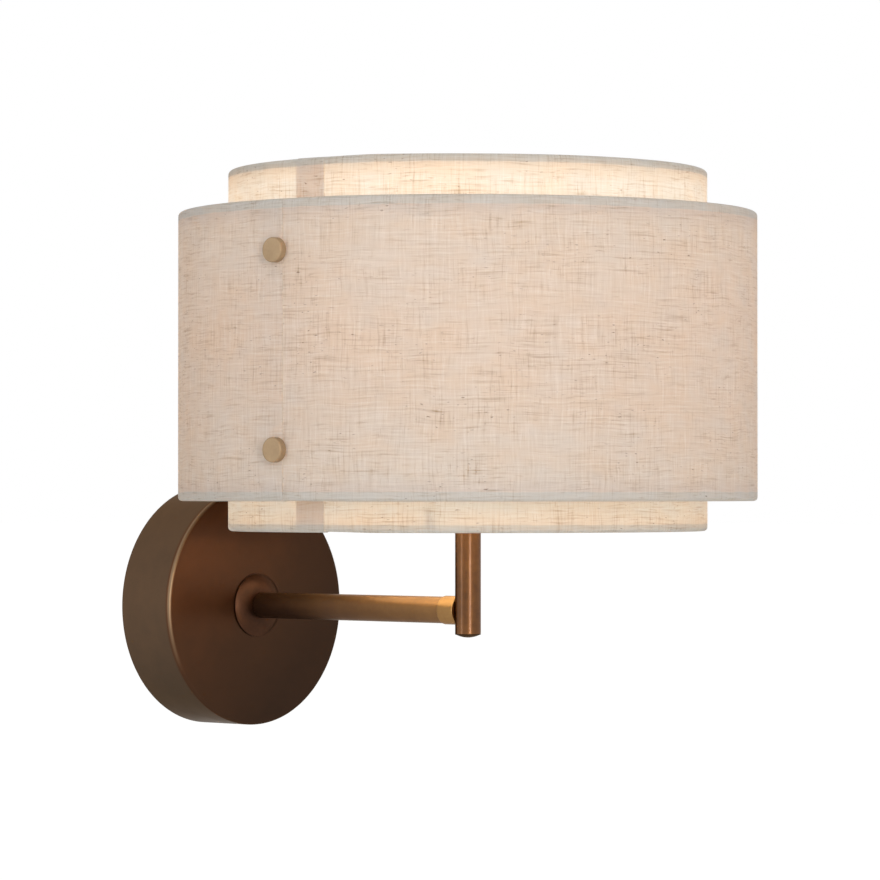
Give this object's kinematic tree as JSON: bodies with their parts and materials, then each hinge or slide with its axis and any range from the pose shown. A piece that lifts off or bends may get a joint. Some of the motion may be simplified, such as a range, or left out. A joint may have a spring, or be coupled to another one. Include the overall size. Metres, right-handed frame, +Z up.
{
  "type": "fabric shade wall light",
  "caption": "Wall light with a round metal wall cup, a straight arm and a short upright stem that carries a two-layer linen drum shade around a screw-base bulb.",
  "frame": {"origin": "middle of the wall plate on the wall plane, on the arm's axis", "axes": "+Z up, +Y into the wall, the arm runs out along -Y"},
  "size_m": [0.2982, 0.333, 0.283],
  "materials": {
    "aged_brass": "satin, darkened",
    "bright_brass": "satin",
    "raw_brass": "turned",
    "zinc_steel": "zinc plated",
    "nickel": "plated",
    "white_wire": "semi-gloss",
    "linen": "slubbed plain weave",
    "liner_sheet": "translucent",
    "holder_black": "moulded",
    "ceramic_white": "matt",
    "bulb_white": "moulded",
    "terminal_clear": "moulded",
    "lead_brown": "matt",
    "lead_blue": "matt",
    "lead_green": "matt",
    "opal_glass": "frosted",
    "black_glass": "glossy"
  },
  "bodies": {
    "fixture": {"canopy_cup": "aged_brass", "arm_collar": "aged_brass", "arm_tube": "aged_brass", "stem_tube": "aged_brass", "stem_end_cap": "aged_brass", "arm_ferrule": "bright_brass", "arm_nipple": "raw_brass", "arm_bush_wall": "raw_brass", "arm_bush_stem": "raw_brass", "stem_stud": "raw_brass", "stem_core": "raw_brass", "stem_nipple": "raw_brass", "terminal_sleeves": "raw_brass", "socket_sleeve": "raw_brass", "centre_contact": "raw_brass", "arm_lock_nut": "raw_brass", "wall_bracket": "zinc_steel", "canopy_grub_screws": "zinc_steel", "earth_screw": "zinc_steel", "earth_lug": "zinc_steel", "arm_lock_washer": "zinc_steel", "terminal_screws": "zinc_steel", "lampholder_cap": "holder_black", "lampholder_shell": "holder_black", "lampholder_insert": "ceramic_white", "terminal_block": "terminal_clear", "live_wire": "lead_brown", "neutral_wire": "lead_blue", "earth_wire": "lead_green"},
    "shade": {"drum_fabric": "linen", "drum_liner": "liner_sheet", "drum_top_ring": "white_wire", "drum_bottom_ring": "white_wire", "band_fabric": "linen", "band_liner": "liner_sheet", "band_top_ring": "white_wire", "band_bottom_ring": "white_wire", "hub_ring": "white_wire", "spider_spokes": "white_wire", "spacer_posts": "bright_brass", "stud_heads": "bright_brass", "post_screws": "zinc_steel", "post_washers": "zinc_steel"},
    "bulb": {"bulb_glass": "opal_glass", "bulb_body": "bulb_white", "bulb_cap": "nickel", "bulb_insulator": "black_glass", "bulb_contact": "raw_brass"},
    "shade_ring": {"shade_ring_nut": "bright_brass"}
  },
  "joints": [
    {"name": "shade_turn", "type": "hinge", "parent": "fixture", "child": "shade", "pos_m": [0, -0.188, 0.0771], "axis": [0, 0, 1], "continuous": true},
    {"name": "bulb_out", "type": "slide", "parent": "fixture", "child": "bulb", "axis": [0, 0, 1], "range_m": [0, 0.032]},
    {"name": "ring_off", "type": "slide", "parent": "fixture", "child": "shade_ring", "axis": [0, 0, 1], "range_m": [0, 0.0335]}
  ]
}
